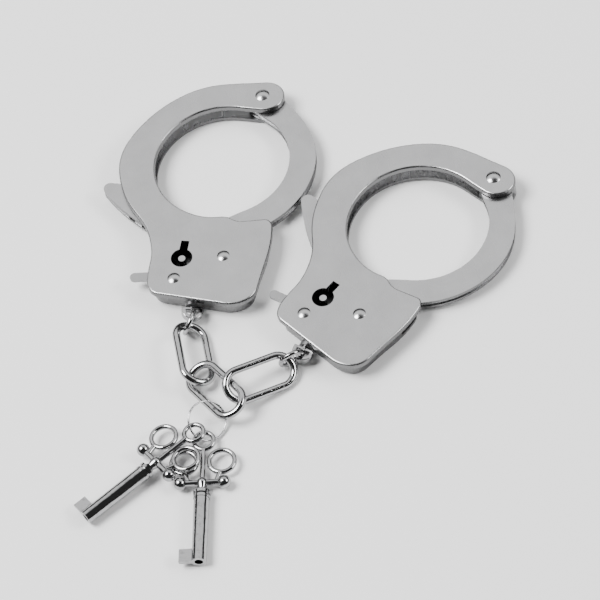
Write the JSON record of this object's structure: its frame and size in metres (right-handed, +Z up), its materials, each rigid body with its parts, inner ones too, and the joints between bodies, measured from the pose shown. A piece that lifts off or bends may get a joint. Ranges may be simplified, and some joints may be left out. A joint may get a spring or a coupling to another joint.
{
  "type": "handcuffs",
  "caption": "Chain-linked handcuffs lying flat: round pressed cuffs with swinging toothed arms, round keyholes and swivelling links, with hollow-barrel keys on a split ring.",
  "frame": {"origin": "middle of the footprint, on the plane of the cuffs' back faces", "axes": "+Z up through the cuffs' faces, +Y from the keys to the cuffs, +X from the left cuff to the right one"},
  "size_m": [0.19, 0.2174, 0.0124],
  "materials": {
    "pressed_nickel": "satin nickel plating on pressed sheet",
    "arm_nickel": "satin nickel plating, blanked edges",
    "arm_core_nickel": "satin nickel plating, toothed edge",
    "rivet_steel": "polished",
    "plain_steel": "plain turned steel",
    "lock_steel": "hardened steel, oiled",
    "chain_chrome": "bright plated wire and strap",
    "key_ring_wire": "bright spring wire",
    "key_chrome": "bright plated"
  },
  "bodies": {
    "left_cuff": {"left_front_plate": "pressed_nickel", "left_back_plate": "pressed_nickel", "left_hinge_rivet": "rivet_steel", "left_hinge_washer_back": "plain_steel", "left_hinge_washer_front": "plain_steel", "left_pawl_rivet": "rivet_steel", "left_lever_rivet": "rivet_steel", "left_key_post": "rivet_steel", "left_pawl_spring": "lock_steel", "left_swivel_collar": "plain_steel"},
    "left_arm": {"left_arm_front_skin": "arm_nickel", "left_arm_core": "arm_core_nickel", "left_arm_back_skin": "arm_nickel"},
    "left_pawl": {"left_pawl": "lock_steel"},
    "left_lever": {"left_release_lever": "lock_steel"},
    "left_swivel": {"left_swivel": "chain_chrome"},
    "right_cuff": {"right_front_plate": "pressed_nickel", "right_back_plate": "pressed_nickel", "right_hinge_rivet": "rivet_steel", "right_hinge_washer_back": "plain_steel", "right_hinge_washer_front": "plain_steel", "right_pawl_rivet": "rivet_steel", "right_lever_rivet": "rivet_steel", "right_key_post": "rivet_steel", "right_pawl_spring": "lock_steel", "right_swivel_collar": "plain_steel"},
    "right_arm": {"right_arm_front_skin": "arm_nickel", "right_arm_core": "arm_core_nickel", "right_arm_back_skin": "arm_nickel"},
    "right_pawl": {"right_pawl": "lock_steel"},
    "right_lever": {"right_release_lever": "lock_steel"},
    "right_swivel": {"right_swivel": "chain_chrome"},
    "left_ring": {"left_ring": "chain_chrome"},
    "link_left": {"link_left": "chain_chrome"},
    "link_middle": {"link_middle": "chain_chrome"},
    "link_right": {"link_right": "chain_chrome"},
    "right_ring": {"right_ring": "chain_chrome"},
    "key_ring": {"key_ring": "key_ring_wire"},
    "key_lower": {"key_lower": "key_chrome"},
    "key_upper": {"key_upper": "key_chrome"}
  },
  "joints": [
    {"name": "left_arm_swing", "type": "hinge", "parent": "left_cuff", "child": "left_arm", "pos_m": [0.00387, 0.09814, 0.0046], "axis": [0, 0, 1], "range_deg": [-185, 0]},
    {"name": "left_pawl_lift", "type": "hinge", "parent": "left_cuff", "child": "left_pawl", "pos_m": [-0.02366, 0.02148, 0.0045], "axis": [0, 0, 1], "range_deg": [-12, 0]},
    {"name": "left_lever_press", "type": "hinge", "parent": "left_cuff", "child": "left_lever", "pos_m": [-0.04426, 0.01562, 0.006], "axis": [0, 0, 1], "range_deg": [0, 6]},
    {"name": "left_swivel_turn", "type": "hinge", "parent": "left_cuff", "child": "left_swivel", "pos_m": [-0.03931, 0.00641, 0.0046], "axis": [-0.061, -0.9981, 0], "continuous": true},
    {"name": "left_ring_swing", "type": "hinge", "parent": "left_swivel", "child": "left_ring", "pos_m": [-0.03956, 0.00018, 0.00455], "axis": [-0.398, 0.0151, -0.9173], "range_deg": [0, 35]},
    {"name": "link_left_swing", "type": "hinge", "parent": "left_ring", "child": "link_left", "pos_m": [-0.04353, -0.00778, 0.00471], "axis": [0.2661, -0.2796, 0.9225], "range_deg": [-45, 0]},
    {"name": "link_middle_swing", "type": "hinge", "parent": "link_left", "child": "link_middle", "pos_m": [-0.03622, -0.02508, 0.00235], "axis": [-0.027, 0.9982, -0.053], "range_deg": [-45, 5]},
    {"name": "key_ring_swing", "type": "hinge", "parent": "link_middle", "child": "key_ring", "pos_m": [-0.03682, -0.04698, 0.00474], "axis": [0.4869, -0.8628, 0.136], "range_deg": [-60, 60]},
    {"name": "key_lower_swing", "type": "hinge", "parent": "key_ring", "child": "key_lower", "pos_m": [-0.03988, -0.05636, 0.00308], "axis": [-0.2576, 0.9662, -0.0096], "range_deg": [-45, 0]},
    {"name": "key_upper_swing", "type": "hinge", "parent": "key_ring", "child": "key_upper", "pos_m": [-0.04487, -0.05681, 0.00493], "axis": [0, 0, 1], "range_deg": [-15, 0]},
    {"name": "link_right_swing", "type": "hinge", "parent": "link_middle", "child": "link_right", "pos_m": [-0.02959, -0.03648, 0.00758], "axis": [-0.4869, 0.8628, -0.136], "range_deg": [-45, 5]},
    {"name": "right_ring_swing", "type": "hinge", "parent": "link_right", "child": "right_ring", "pos_m": [-0.00862, -0.02887, 0.00663], "axis": [-0.8726, 0.2275, 0.4323], "range_deg": [-30, 0]},
    {"name": "right_swivel_swing", "type": "hinge", "parent": "right_ring", "child": "right_swivel", "pos_m": [-0.00098, -0.02874, 0.00461], "axis": [-0.243, 0.1702, -0.955], "range_deg": [0, 45]},
    {"name": "right_cuff_turn", "type": "hinge", "parent": "right_swivel", "child": "right_cuff", "pos_m": [0.00234, -0.02346, 0.0046], "axis": [0.5664, 0.8241, 0], "range_deg": [-90, 90]},
    {"name": "right_arm_swing", "type": "hinge", "parent": "right_cuff", "child": "right_arm", "pos_m": [0.0866, 0.03293, 0.0046], "axis": [0, 0, 1], "range_deg": [0, 185]},
    {"name": "right_pawl_lift", "type": "hinge", "parent": "right_cuff", "child": "right_pawl", "pos_m": [0.02352, -0.0186, 0.0045], "axis": [0, 0, 1], "range_deg": [-12, 0]},
    {"name": "right_lever_press", "type": "hinge", "parent": "right_cuff", "child": "right_lever", "pos_m": [0.00285, -0.01301, 0.006], "axis": [0, 0, 1], "range_deg": [0, 6]}
  ],
  "couplings": [
    {"joint": "left_pawl_lift", "follows": "left_lever_press", "ratio": -2},
    {"joint": "right_pawl_lift", "follows": "right_lever_press", "ratio": -2}
  ]
}
